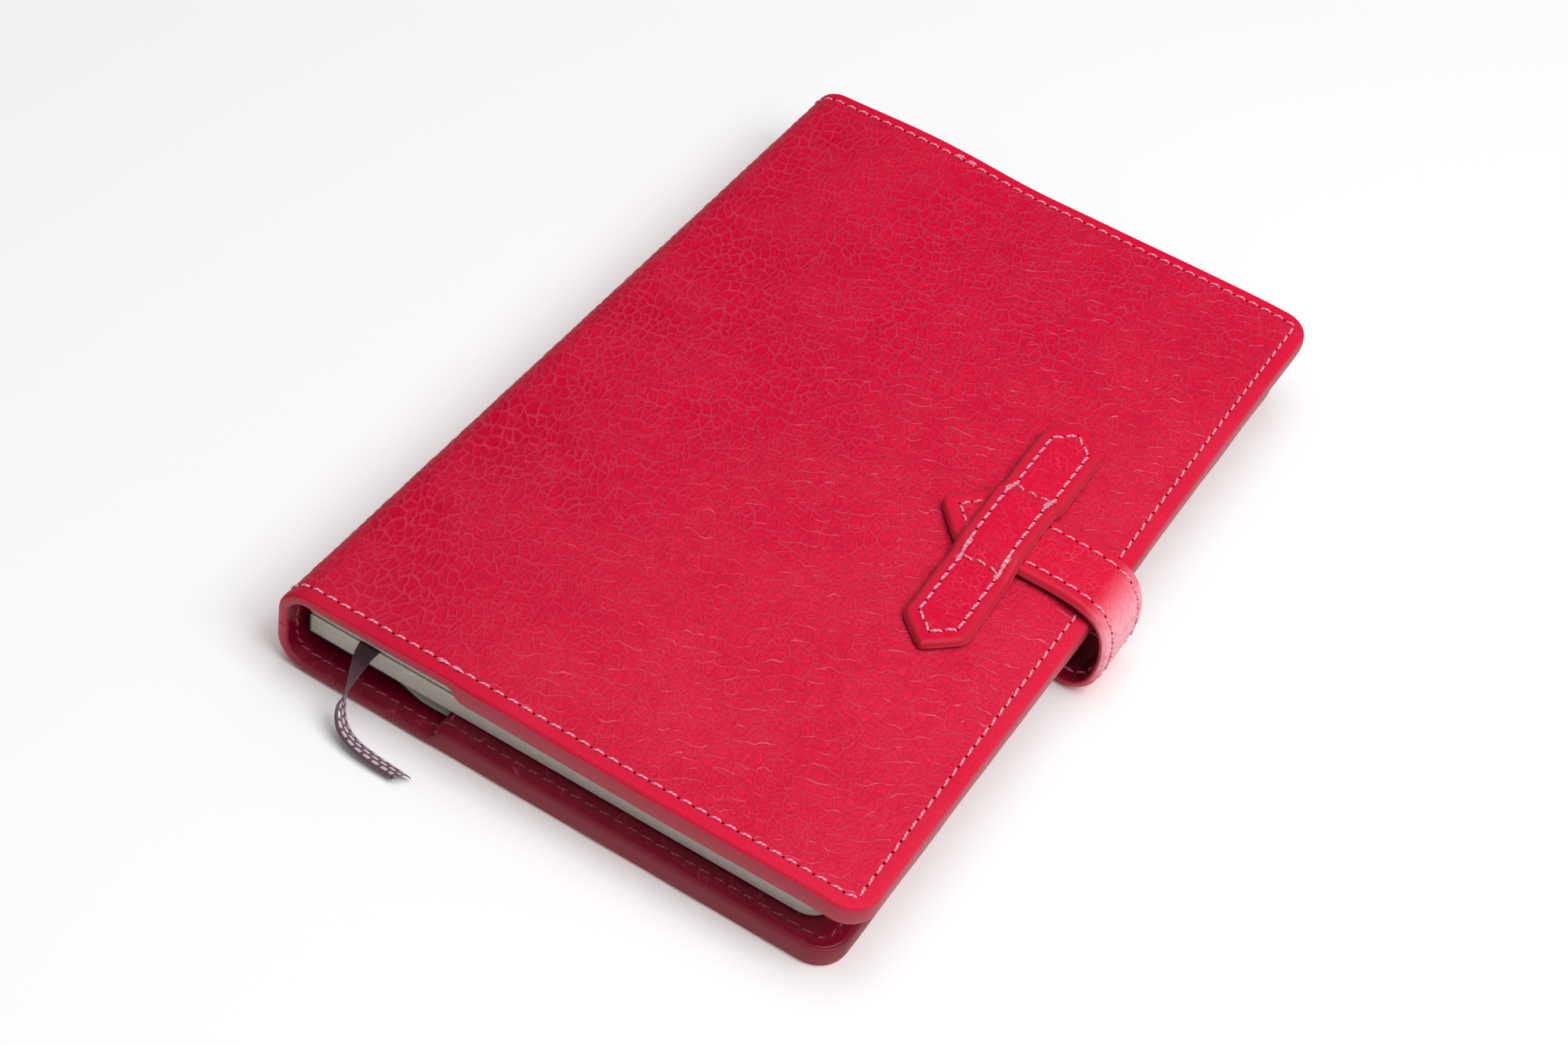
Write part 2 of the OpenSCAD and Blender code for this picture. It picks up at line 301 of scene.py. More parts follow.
class Nodes:
    """Short calls that add nodes to a shader tree or a geometry tree."""

    def __init__(self, tree):
        self.tree = tree

    def add(self, kind, inputs, output=0, **settings):
        """Adds a node and gives one of its outputs."""
        node = self.tree.nodes.new(kind)
        for name, value in settings.items():
            setattr(node, name, value)
        for key, value in inputs.items():
            self.feed(node.inputs[key], value)
        return Value(self, node.outputs[output])

    def feed(self, socket, value):
        if isinstance(value, Value):
            self.tree.links.new(value.socket, socket)
        else:
            socket.default_value = value

    def math(self, operation, a, b=0.0):
        return self.add("ShaderNodeMath", {0: a, 1: b}, operation=operation)

    def vector(self, operation, a, b):
        return self.add("ShaderNodeVectorMath", {0: a, 1: b}, operation=operation)

    def scaled(self, vector, factor):
        return self.add("ShaderNodeVectorMath", {0: vector, "Scale": factor}, operation="SCALE")

    def parts(self, vector):
        return [self.add("ShaderNodeSeparateXYZ", {0: vector}, axis) for axis in range(3)]

    def noise(self, where, scale, detail=2.0, output=0):
        inputs = {"Vector": where, "Scale": scale, "Detail": detail}
        return self.add("ShaderNodeTexNoise", inputs, output)

    def edges(self, where, scale, randomness=1.0):
        """Distance to the nearest border of a flat cell pattern, in millimetres."""
        inputs = {"Vector": where, "Scale": scale, "Randomness": randomness}
        distance = self.add("ShaderNodeTexVoronoi", inputs, "Distance", voronoi_dimensions="2D",
                            feature="DISTANCE_TO_EDGE")
        return self.math("DIVIDE", distance, scale)

    def step(self, value, low, high, to_low=0.0, to_high=1.0):
        inputs = {"Value": value, "From Min": low, "From Max": high, "To Min": to_low,
                  "To Max": to_high}
        return self.add("ShaderNodeMapRange", inputs, "Result", interpolation_type="SMOOTHSTEP")

    def mix(self, share, a, b):
        return self.add("ShaderNodeMix", {0: share, 2: a, 3: b}, data_type="FLOAT")

    def blend(self, share, a, b):
        """Mixes two colours, each a tuple or what a node gives."""
        a, b = ((*colour, 1.0) if isinstance(colour, tuple) else colour for colour in (a, b))
        return self.add("ShaderNodeMix", {0: share, 6: a, 7: b}, 2, data_type="RGBA")

    def attribute(self, name, vector=True):
        """A named attribute of the mesh, in either kind of tree."""
        if self.tree.bl_idname == "GeometryNodeTree":
            kind = "FLOAT_VECTOR" if vector else "FLOAT"
            return self.add("GeometryNodeInputNamedAttribute", {"Name": name}, "Attribute",
                            data_type=kind)
        output = "Vector" if vector else "Fac"
        return self.add("ShaderNodeAttribute", {}, output, attribute_name=name)

    def warped(self, where, scale, amount):
        """where, pushed about by a noise of that scale."""
        cloud = self.noise(where, scale, 1.0, "Color")
        push = self.vector("SUBTRACT", cloud, (0.5, 0.5, 0.5))
        return self.vector("ADD", where, self.scaled(push, amount))

    def turned(self, where, angle, stretch):
        """where, turned about Z and then squeezed along the new axes."""
        inputs = {"Vector": where, "Angle": math.radians(angle)}
        turned = self.add("ShaderNodeVectorRotate", inputs, rotation_type="Z_AXIS")
        return self.vector("MULTIPLY", turned, (*stretch, 1.0))


class Surface(Nodes):
    """The nodes of a material. Its even values go on the principled surface's own sockets."""

    def __init__(self, name, **even):
        self.material = bpy.data.materials.new(name)
        self.material.use_nodes = True
        super().__init__(self.material.node_tree)
        self.sockets = self.tree.nodes["Principled BSDF"].inputs
        for key, value in even.items():
            self.sockets[key.replace("_", " ")].default_value = value

    def millimetres(self):
        """The place on the piece, in millimetres."""
        return self.scaled(self.add("ShaderNodeTexCoord", {}, "Object"), 1000.0)

    def finished(self, colour, roughness, height=None, rise=0.0, strength=1.0):
        """Joins up the colour, the roughness, and bumps of that rise in millimetres."""
        self.feed(self.sockets["Base Color"], colour)
        self.feed(self.sockets["Roughness"], roughness)
        if height is not None:
            inputs = {"Height": height, "Distance": rise * MM, "Strength": strength}
            self.feed(self.sockets["Normal"], self.add("ShaderNodeBump", inputs))
        return self.material


# ---------------- leather grain

def grain(n, flat):
    """Creased grain of tumbled leather. Gives the pebbles' height, the pebbles' lines with the
    long creases that take over towards the fore edge, the fine lines, and the share of leather
    with wear-softened grain, which grows towards the fore edge and the tail; in the leather's
    colour the same share also sets a painted sheen and how deep the painted shade in the hollows is."""
    bent = n.warped(n.warped(flat, 0.055, 6.0), 0.30, 1.2)
    x, y, _ = n.parts(flat)
    patch = n.step(n.noise(flat, 0.06, 1.0), 0.38, 0.64)
    worn_and_sheen_share = n.mix(0.3, n.step(x - y * 0.55, 22.0, 100.0), patch)
    crease_share = n.mix(0.25, n.step(x, 18.0, 70.0), patch)
    pebble_rows = n.turned(n.warped(bent, 0.65, 0.75), PEBBLE_TURN, (0.60, 1.05))
    pebbles = n.edges(pebble_rows, 0.70, 0.88)
    crease_rows = n.turned(n.warped(bent, 0.30, 2.4), CREASE_TURN, (1.0, 1.0))
    creases = n.math("PINGPONG", n.parts(crease_rows)[1], CREASE_PITCH / 2)
    sunk = n.math("MINIMUM", pebbles, creases + (1.0 - crease_share) * 0.45)
    height = n.step(sunk, 0.0, 0.60)
    fade = n.step(n.noise(bent, 0.35), 0.34, 0.58, 0.35, 1.0) * n.mix(worn_and_sheen_share, 0.24, 0.18)
    net = n.step(pebbles, 0.0, 0.20, 1.0, 0.0) * fade
    gaps = n.step(n.noise(n.turned(flat, CREASE_TURN, (0.24, 0.8)), 1.0), 0.46, 0.58)
    streaks = n.step(creases, 0.0, 0.10, 1.35, 0.0) * gaps
    main = n.math("MAXIMUM", net, streaks * crease_share)
    cross = n.edges(n.warped(bent, 0.9, 0.5), 0.85)
    fine = n.step(cross, 0.0, 0.09, 0.30, 0.0) * n.step(n.noise(bent, 0.4), 0.42, 0.64)
    return height, main, fine, worn_and_sheen_share


def relief_group():
    """Geometry nodes that press the grain into a leather face, away from its margins."""
    tree = bpy.data.node_groups.new("leather_relief", "GeometryNodeTree")
    for way in ("INPUT", "OUTPUT"):
        tree.interface.new_socket("Geometry", in_out=way, socket_type="NodeSocketGeometry")
    n = Nodes(tree)
    margin = n.attribute("margin", vector=False)
    inside = n.step(margin, 2.2, 4.0, 0.12, 1.0) * n.step(margin, 0.4, 1.2)
    press = (grain(n, n.attribute("flat"))[0] - 1.0) * inside * GRAIN_DEPTH
    moved = n.add("GeometryNodeSetPosition", {
        "Geometry": n.add("NodeGroupInput", {}), "Offset": n.scaled(n.attribute("outward"), press)})
    n.feed(tree.nodes.new("NodeGroupOutput").inputs[0], moved)
    return tree


def press_grain(piece):
    """Presses the grain into piece, so that its relief is in the mesh."""
    piece.modifiers.new("relief", "NODES").node_group = relief
    graph = bpy.context.evaluated_depsgraph_get()
    mesh = bpy.data.meshes.new_from_object(
        piece.evaluated_get(graph), preserve_all_data_layers=True, depsgraph=graph)
    piece.modifiers.clear()
    piece.data = mesh


# ---------------- materials

def dimmed(colour, share):
    return tuple(part * share for part in colour)


def leather_material(name, grain_share=1.0, fine_share=0.8, roughness=0.48, specular=0.05,
                     shade=0.92, corner_sheen=0.0, rim=0.0, sheen_span=None):
    """Aniline-dyed leather: grain, crease lines gone paler with wear, pores and a soft gloss,
    with painted shade in the grain's hollows. Painted shade makes it darker by shade towards the
    spine and the tail, fading paints a paler sheen towards the fore edge, and rim paints shade
    near the piece's edge. Between the places in worn, along the piece, a frosted sheen is painted."""
    n = Surface(name, Specular_IOR_Level=specular)
    flat, margin = n.attribute("flat"), n.attribute("margin", vector=False)
    x, y, _ = n.parts(flat)
    height, main, fine, worn_and_sheen_share = grain(n, flat)
    inside = n.step(margin, 1.2, 3.6, 0.1, 1.0)
    share = inside * grain_share
    lines = n.math("MAXIMUM", main * share, fine * (inside * fine_share))
    speck = n.noise(flat, 2.6)
    cloud = n.step(n.noise(flat, 0.045, 3.0), 0.35, 0.65)
    # Painted shade: the colour darkens towards the spine and the tail, down to dark; the random     specks below use the same dark colour
    dark = dimmed(CRIMSON, shade)
    colour = n.blend(n.mix(0.2, n.step(x + y * 0.45, -45.0, 85.0), cloud), dark, CRIMSON)
    # Painted sheen: a paler colour towards the fore edge and the tail
    colour = n.blend(worn_and_sheen_share * corner_sheen, colour, PALE_SHEEN)
    colour = n.blend(n.step(speck, 0.3, 0.7, 0.28, 0.0), colour, dark)
    # Painted shade darkens the grain's hollows
    valley_shade = n.step(height, 0.0, 0.8, 1.0, 0.0) * (share * n.mix(worn_and_sheen_share, 0.95, 0.50))
    colour = n.blend(valley_shade, colour, VALLEY_SHADE)
    colour = n.blend(lines * 0.50, colour, CREASE)
    # Painted shade on the rounded rim near the piece's edge
    colour = n.blend(n.step(margin, 0.2, 1.9, rim, 0.0), colour, RIM_SHADE)
    # Painted sheen: a frosted pale reflection over the given span along the piece
    if sheen_span:
        start, end = sheen_span
        bend_sheen = n.step(x, start - 4.0, start + 2.0) * n.step(x, end - 2.0, end + 4.0, 1.0, 0.0)
        bend_sheen = bend_sheen * n.step(n.noise(flat, 0.9, 3.0), 0.1, 0.6, 0.35, 0.8)
        colour = n.blend(bend_sheen, colour, BEND_SHEEN)
    gloss = n.step(speck, 0.2, 0.8, roughness - 0.05, roughness + 0.07)
    small = n.step(n.edges(n.warped(flat, 1.1, 0.5), 1.25), 0.0, 0.3) * 0.16
    pores = n.noise(flat, 3.4) * 0.20 + small * inside + (1.0 - lines) * 0.35
    pillow = height * share * n.mix(worn_and_sheen_share, 1.15, 0.5)
    return n.finished(colour, n.mix(lines, gloss, roughness + 0.12), pores + pillow, 0.16, 0.8)


def lining_material():
    """Glossier, darker leather of the lining and sleeves, with fine wrinkles."""
    n = Surface("lining_leather", Specular_IOR_Level=0.30, Coat_Weight=0.08, Coat_Roughness=0.2)
    flat = n.attribute("flat")
    wrinkles = n.edges(n.turned(n.warped(flat, 0.25, 2.2), -60.0, (0.4, 1.0)), 0.55)
    lines = n.step(wrinkles, 0.02, 0.14, 1.0, 0.0) * n.step(n.noise(flat, 0.3), 0.5, 0.7)
    cloud = n.noise(flat, 0.12, 3.0)
    colour = n.blend(cloud, (0.17, 0.001, 0.014), (0.29, 0.002, 0.026))
    colour = n.blend(lines * 0.45, colour, (0.62, 0.09, 0.14))
    height = n.noise(flat, 1.4, 3.0) * 0.7 + (1.0 - lines) * 0.4
    return n.finished(colour, n.step(cloud, 0.2, 0.8, 0.24, 0.36), height, 0.10, 0.7)


def paint_material(name, depth):
    """Edge paint: a satin film over the cut edges. Away from the middle of the spine its colour
    is multiplied by depth; a depth below one paints shade on an edge that lies in shadow."""
    n = Surface(name, Specular_IOR_Level=0.25, Coat_Weight=0.08, Coat_Roughness=0.4)
    flat = n.attribute("flat")
    cloud = n.noise(flat, 0.35, 3.0)
    at_spine = n.blend(cloud, PAINT_DEEP, PAINT_PALE)
    away = n.blend(cloud, dimmed(PAINT_DEEP, depth), dimmed(PAINT_PALE, depth))
    from_spine = n.math("ABSOLUTE", n.parts(flat)[0])
    colour = n.blend(n.step(from_spine, 1.0, 12.0), at_spine, away)
    strokes = n.noise(n.vector("MULTIPLY", flat, (0.6, 0.6, 2.2)), 1.0)
    return n.finished(colour, n.step(cloud, 0.2, 0.8, 0.42, 0.52), strokes, 0.05, 0.6)


def thread_material(name, light, shade):
    """Twisted polyester thread: flat holds the distance along, the turn round, and the stitch."""
    n = Surface(name, Specular_IOR_Level=0.5, Sheen_Weight=0.3, Sheen_Roughness=0.4)
    flat = n.attribute("flat")
    along, turn, _ = n.parts(flat)
    twist = n.step(n.math("SINE", along * 9.0 + turn), -0.9, 0.9)
    colour = n.blend(twist, shade, light)
    colour = n.blend(n.step(n.noise(flat, 0.8, 1.0), 0.4, 0.7, 0.0, 0.35), colour, shade)
    return n.finished(colour, n.step(twist, 0.0, 1.0, 0.55, 0.40), twist, 0.06, 0.8)


def hole_material():
    """The shaded inside of a needle hole."""
    n = Surface("needle_hole", Specular_IOR_Level=0.1)
    cloud = n.noise(n.attribute("flat"), 2.0, 1.0)
    colour = n.blend(cloud, (0.020, 0.0005, 0.004), (0.06, 0.002, 0.012))
    return n.finished(colour, n.step(cloud, 0.0, 1.0, 0.7, 0.9))


def paper_material():
    """Cream book paper with faint fibres and flecks."""
    n = Surface("paper", Specular_IOR_Level=0.2)
    where = n.millimetres()
    fibres = n.noise(n.vector("MULTIPLY", where, (1.0, 2.6, 9.0)), 1.2, 4.0)
    flecks = n.step(n.noise(where, 0.05), 0.3, 0.7, 0.0, 0.25)
    colour = n.blend(n.step(fibres, 0.3, 0.7), (0.66, 0.615, 0.53), (0.78, 0.74, 0.66))
    colour = n.blend(flecks, colour, (0.72, 0.66, 0.56))
    return n.finished(colour, n.step(fibres, 0.2, 0.8, 0.75, 0.9), fibres, 0.03, 0.5)


def weave(n, axes, scale, distortion=0.0):
    """Crossed threads that run along two axes."""
    inputs = {"Vector": n.millimetres(), "Scale": scale, "Distortion": distortion}
    return n.math("MAXIMUM", *(
        n.add("ShaderNodeTexWave", inputs, 1, bands_direction=axis) for axis in axes))


def card_material():
    """Navy cover card with a fine linen emboss."""
    n = Surface("navy_card", Specular_IOR_Level=0.35)
    linen = weave(n, "XY", 1.1, 1.2)
    colour = n.blend(linen, (0.006, 0.008, 0.024), (0.016, 0.020, 0.052))
    return n.finished(colour, n.step(linen, 0.0, 1.0, 0.6, 0.45), linen, 0.06, 0.7)


def cloth_material():
    """Book cloth glued over the folds: an open cream weave."""
    n = Surface("spine_cloth", Sheen_Weight=0.2)
    mull = weave(n, "YZ", 0.8)
    colour = n.blend(mull, (0.45, 0.40, 0.32), (0.72, 0.68, 0.58))
    return n.finished(colour, n.step(mull, 0.0, 1.0, 0.9, 0.75), mull, 0.08, 0.8)


def satin_material():
    """Woven ribbon: flat holds the distance along, the place across, and the weave's dash."""
    n = Surface("satin", Specular_IOR_Level=0.7, Sheen_Weight=0.25, Sheen_Roughness=0.3)
    flat = n.attribute("flat")
    dash = n.step(n.parts(flat)[2], 0.25, 0.75)
    fibres = n.noise(n.vector("MULTIPLY", flat, (2.0, 14.0, 0.0)), 1.0, 3.0)
    colour = n.blend(dash, (0.10, 0.046, 0.064), (0.66, 0.50, 0.60))
    colour = n.blend(n.step(fibres, 0.3, 0.7, 0.3, 0.0), colour, (0.045, 0.020, 0.030))
    return n.finished(colour, n.mix(dash, 0.5, 0.30), dash + fibres * 0.5, 0.05, 0.8)


relief = relief_group()
cover_leather = leather_material("cover_leather", shade=0.56, corner_sheen=0.75)
strap_leather = leather_material("strap_leather", 0.5, 2.0, 0.36, 0.16, rim=0.5, sheen_span=(30.0, 37.0))
keeper_leather = leather_material("keeper_leather", 0.4, 1.6, 0.42, 0.10, shade=0.84, rim=0.65)
lining = lining_material()
edge_paint = paint_material("edge_paint", 1.0)
# Painted shade: the back cover's edge paint is darker, as it lies in shadow on the table
back_edge_paint = paint_material("back_edge_paint", 0.55)
thread = thread_material("thread", (0.86, 0.38, 0.47), (0.62, 0.14, 0.23))
inner_thread = thread_material("inner_thread", (0.60, 0.12, 0.20), (0.35, 0.02, 0.06))
hole = hole_material()
paper = paper_material()
card = card_material()
cloth = cloth_material()
satin = satin_material()


# ---------------- the cover

def front_lift(s, y):
    """How far the front cover stands out from its flat shape: a soft sag at the closure and
    a swell over the pages near the head."""
    x = s - FLAT_S + FLAT_X
    fore = smooth(x, FORE_X[UPPER] - 9 * MM, FORE_X[UPPER])
    sag = -(0.25 + 1.25 * bell(y, CLOSURE_Y, 26 * MM)) * MM * fore
    head = smooth(y, 25 * MM, HALF_L)
    tail = smooth(-y, 30 * MM, HALF_L)
    swell = (0.75 * bell(x, -26 * MM, 13 * MM) - 0.25 * bell(x, -5 * MM, 8 * MM)) * MM * head
    swell += 0.3 * bell(x, -22 * MM, 14 * MM) * MM * tail
    ripple = 0.10 * MM * np.sin(x / (7.5 * MM) + 2.0 * y / (40 * MM))
    ripple = ripple * smooth(s, FLAT_S, FLAT_S + 20 * MM)
    return sag + swell + ripple * (1 - bell(x, KEEPER_X, 14 * MM) * bell(y, CLOSURE_Y, 30 * MM))


def cover_place(side, s, y, depth):
    """Places points of a cover half, given unrolled, into the row frame."""
    s, y, depth = np.broadcast_arrays(*(np.asarray(v, float) for v in (s, y, depth)))
    if side == UPPER:
        depth = depth - front_lift(s, y)
    turn = np.clip((s - UPRIGHT_S) / SPINE_R, 0, math.pi / 2)
    reach = SPINE_R - depth
    x = FLAT_X - reach * np.cos(turn) + np.maximum(s - FLAT_S, 0)
    z = MID_Z + np.minimum(s, UPRIGHT_S) + reach * np.sin(turn)
    if side == LOWER:
        z = TOP_Z - z
    return np.stack([x, y, z], -1)


def outline_distance(side, s, y):
    """Distance to the straight stretches of a cover half's outline."""
    return np.minimum(FORE_S[side] - s, HALF_L - np.abs(y))


def plan_grid(side, s_steps, y_steps):
    """Bends a grid of s and y to a panel with two round corners at the fore edge.
    Gives s, y and the distance from the outline."""
    s, y = np.meshgrid(s_steps, y_steps, indexing="ij")
    centre_s, centre_y = FORE_S[side] - CORNER_R, HALF_L - CORNER_R
    a = np.clip((s - centre_s) / CORNER_R, 0, 1)
    b = np.clip((np.abs(y) - centre_y) / CORNER_R, 0, 1)
    edge = outline_distance(side, s, y)
    corner = (a > 0) & (b > 0)
    round_edge = CORNER_R * (1 - np.sqrt(a * a + b * b - a * a * b * b))
    s = np.where(corner, centre_s + CORNER_R * a * np.sqrt(1 - b * b / 2), s)
    round_y = np.sign(y) * (centre_y + CORNER_R * b * np.sqrt(1 - a * a / 2))
    return s, np.where(corner, round_y, y), np.where(corner, round_edge, edge)


def panel_steps(start, end, step):
    """Values from start to end, with finer steps before the end."""
    flat_end = end - EDGE_STEPS[-1]
    count = max(1, int(round((flat_end - start) / step)))
    return np.concatenate([np.linspace(start, flat_end, count + 1), end - EDGE_STEPS[-2::-1]])


def skip(count, stride):
    """Every stride-th index, with the first and last always in."""
    return np.array([*range(0, count - 1, stride), count - 1])


def cover_shell(name, side, material, s_from, step, near, far, stride, inset=0.0):
    """A closed sheet of the cover. near and far give the depth of its two faces; the far face
    has every stride-th line of the near one's grid."""
    s_end = FORE_S[side]
    half = panel_steps(0.0, HALF_L, step)
    y_steps = np.concatenate([-half[:0:-1], half])
    s, y, edge = plan_grid(side, panel_steps(s_from, s_end, step), y_steps)
    if inset:
        s = s_from + (s - s_from) * (s_end - inset - s_from) / (s_end - s_from)
        y = y * (HALF_L - inset) / HALF_L
    rows, columns = s.shape
    i, j = skip(rows, stride), skip(columns, stride)
    few = np.ix_(i, j)
    near_depth = near(side, s, y, edge)
    far_depth = far(side, s[few], y[few], edge[few])
    face = cover_place(side, s, y, near_depth).reshape(-1, 3)
    rear = cover_place(side, s[few], y[few], far_depth).reshape(-1, 3)
    outward = (cover_place(side, s, y, 0) - cover_place(side, s, y, MM)).reshape(-1, 3) / MM
    outward = np.vstack([outward, np.zeros_like(rear)])
    offset = len(face)
    faces = grid_quads(rows, columns) + grid_quads(len(i), len(j), offset, flip=True)
    fine = np.arange(rows * columns).reshape(rows, columns)
    coarse = offset + np.arange(len(i) * len(j)).reshape(len(i), len(j))
    for line, rough, picks, flip in (
            (fine[0], coarse[0], j, False), (fine[-1], coarse[-1], j, True),
            (fine[:, 0], coarse[:, 0], i, True), (fine[:, -1], coarse[:, -1], i, False)):
        for k in range(len(picks) - 1):
            ring = list(line[picks[k]:picks[k + 1] + 1]) + [rough[k + 1], rough[k]]
            faces.append(tuple(int(v) for v in (ring if flip else ring[::-1])))
    if (side == UPPER) != (near_depth.mean() < far_depth.mean()):
        faces = [f[::-1] for f in faces]
    flat = np.stack([side * s, y, np.zeros_like(s)], -1)
    flat = np.vstack([flat.reshape(-1, 3), flat[few].reshape(-1, 3)])
    margin = np.concatenate([edge.ravel(), np.zeros(len(rear))])
    piece = new_mesh(name, np.vstack([face, rear]), faces, [material], flat=flat, margin=margin,
                     outward=outward)
    soften_join(piece.data, set(int(v) for v in fine[0]))
    return piece


def soften_join(mesh, line):
    """Keeps the far side of a line of points out of its shading, where another piece goes on."""
    sharp = [edge.vertices[0] in line and edge.vertices[1] in line for edge in mesh.edges]
    layer = mesh.attributes.new("sharp_edge", "BOOLEAN", "EDGE")
    layer.data.foreach_set("value", sharp)


def even_depth(depth):
    """A face of the cover at one depth."""
    return lambda side, s, y, edge: np.full_like(s, depth)


def roll_over(edge, radius):
    """Depth of an edge rounded over that radius."""
    inward = np.clip(radius - edge, 0, radius)
    return radius - np.sqrt(radius * radius - inward * inward)


def leather_face(side, s, y, edge):
    """The outer face: rounded over at its edges and pulled in along the seam."""
    seam = bell(edge, STITCH_INSET, 0.42 * MM)
    along = np.where(HALF_L - np.abs(y) < FORE_S[side] - s, s, y)
    pull = 0.13 + 0.05 * np.cos(2 * math.pi * along / STITCH_PITCH)
    pucker = 0.05 * bell(edge, STITCH_INSET + 2 * MM, 1.6 * MM) * np.sin(along / (1.9 * MM))
    return roll_over(edge, 0.6 * MM) + (pull * seam + pucker) * MM


def lining_face(side, s, y, edge):
    """The lining's inner face, wrinkled where it turns round the spine."""
    tight = 1 - smooth(s, FLAT_S, FLAT_S + 9 * MM)
    folds = np.sin(s / (0.55 * MM) + 1.5 * np.sin(y / (3.1 * MM))) * np.sin(y / (6.0 * MM) + 1.0)
    return SHELL_T + 0.02 * MM - 0.10 * MM * tight * np.abs(folds) * smooth(edge, 0, 2 * MM)


def sleeve_face(side, s, y, edge):
    """The sleeve's inner face: rolled over at its edges, pressed down along its seam."""
    seam = bell(edge, STITCH_INSET, 0.5 * MM) + 0.6 * bell(edge, 0, 1.2 * MM)
    mouth = roll_over(s - MOUTH_S[side], 0.45 * MM)
    return COVER_T - roll_over(edge, 0.5 * MM) - 0.12 * MM * seam - mouth


def sleeve_back(side, s, y, edge):
    """The sleeve's other face: sewn to the lining at its margins, clear of it inside."""
    inside = smooth(edge, SEAM_MARGIN - 0.6 * MM, SEAM_MARGIN + 0.2 * MM)
    return SHELL_T + 0.05 * MM + (POCKET_DEPTH - SHELL_T - 0.05 * MM) * inside


def cover_thickness(side, s):
    """Thickness of the cover's edge: two layers near the spine, three past the sleeve's mouth."""
    mouth = MOUTH_S[side]
    return SHELL_T + (COVER_T - SHELL_T) * smooth(s, mouth - 0.6 * MM, mouth + 1.2 * MM)


def outline(side, inset, corner_r, step, corner_steps=10):
    """The cover half's outline, from mid-spine at the tail round the fore edge to mid-spine at
    the head, inset by that much. Gives s, y and the outward direction."""
    s_end, y_end = FORE_S[side] - inset, HALF_L - inset
    sides = int(round((s_end - corner_r) / step))
    fronts = int(round(2 * (y_end - corner_r) / step))
    corner_s, corner_y = s_end - corner_r, y_end - corner_r

    def corner(end, first):
        turns = np.linspace(first, first + math.pi / 2, corner_steps, endpoint=False)
        return [(corner_s + corner_r * math.cos(a), end * corner_y + corner_r * math.sin(a),
                 math.cos(a), math.sin(a)) for a in turns]

    tail = [(s, -y_end, 0, -1) for s in np.linspace(0, corner_s, sides, endpoint=False)]
    fore = [(s_end, y, 1, 0) for y in np.linspace(-corner_y, corner_y, fronts, endpoint=False)]
    head = [(s, y_end, 0, 1) for s in np.linspace(corner_s, 0, sides + 1)]
    return np.array(tail + corner(-1, -math.pi / 2) + fore + corner(1, 0) + head)


def edge_band(name, side, material):
    """The painted edge: a rounded band that closes the layers round the outline."""
    s, y, out_s, out_y = outline(side, 0.0, CORNER_R, 0.7 * MM).T
    start = 0.34 * MM
    span = cover_thickness(side, s) - start - 0.12 * MM
    bulge = [(-0.10 + 0.30 * math.sin(math.pi * t) ** 0.55, t) for t in np.linspace(0, 1, 9)]
    wobble = 0.03 * np.sin(s / (2.3 * MM) + y / (3.1 * MM))
    rings = []
    for out, share in [(-0.7, 0.02), *bulge, (-0.7, 0.98)]:
        reach = (out + wobble * (out > 0)) * MM
        rings.append((s + out_s * reach, y + out_y * reach, start + span * share))
    places = np.stack([cover_place(side, *ring) for ring in rings], 1)
    flat = np.stack([np.stack([side * a, b, c], -1) for a, b, c in rings], 1)
    count, total = len(rings), len(s) * len(rings)
    caps = [tuple(range(count)), tuple(range(total - 1, total - count - 1, -1))]
    if side == LOWER:
        caps = [cap[::-1] for cap in caps]
    faces = grid_quads(len(s), count, closed=True, flip=side == LOWER) + caps
    return new_mesh(name, places.reshape(-1, 3), faces, [material], flat=flat.reshape(-1, 3))


# ---------------- seams

